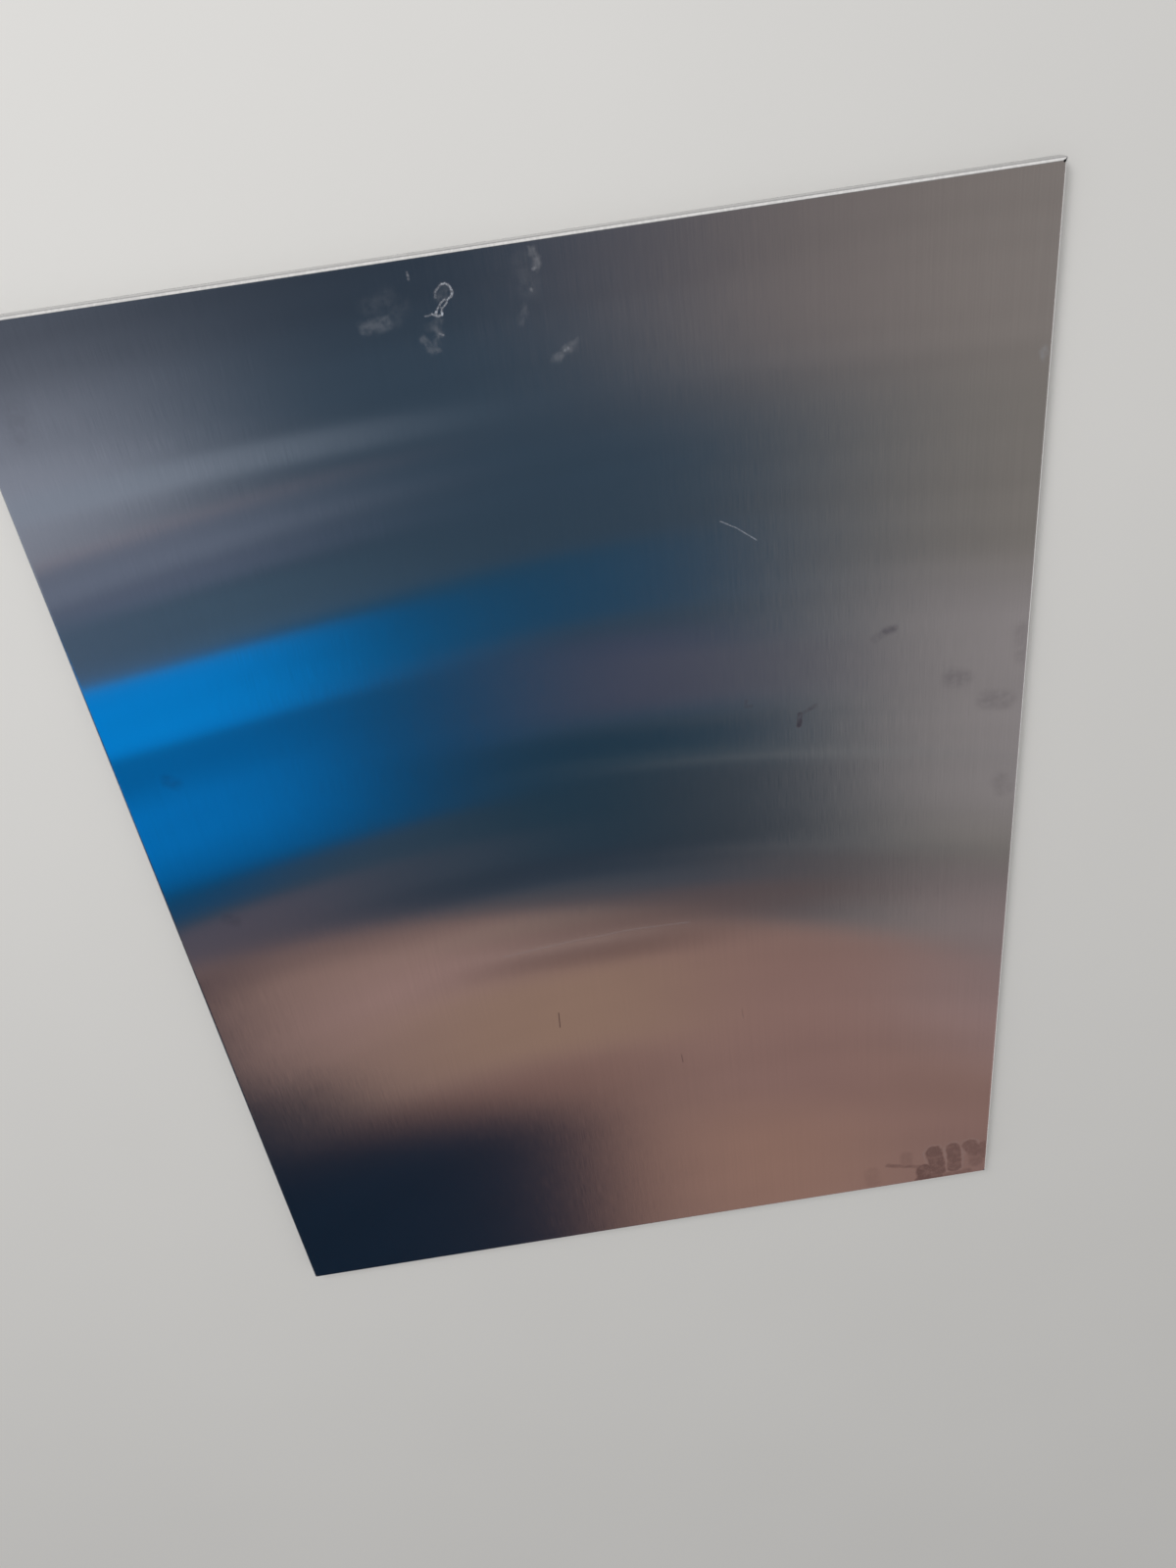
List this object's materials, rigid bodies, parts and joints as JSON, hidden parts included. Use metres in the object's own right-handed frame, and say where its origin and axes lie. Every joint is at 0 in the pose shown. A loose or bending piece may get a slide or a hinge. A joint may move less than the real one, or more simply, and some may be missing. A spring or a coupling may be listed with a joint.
{
  "type": "steel plate",
  "caption": "Flat rectangular plate of brushed stainless sheet, with its edges folded back square into shallow rims and mitred corners, open at the back.",
  "frame": {"origin": "middle of the rectangle that the folded rims rest on, in the lowest plane of the plate", "axes": "+Z out of the brushed face, +Y along the long side towards the edge that is uppermost when the plate stands, +X across the width"},
  "size_m": [0.6, 0.8, 0.01],
  "materials": {
    "brushed_stainless": "brushed along the long side, with dried smears, drips and light scratches on the face"
  },
  "bodies": {
    "root": {"plate": "brushed_stainless"}
  },
  "joints": []
}
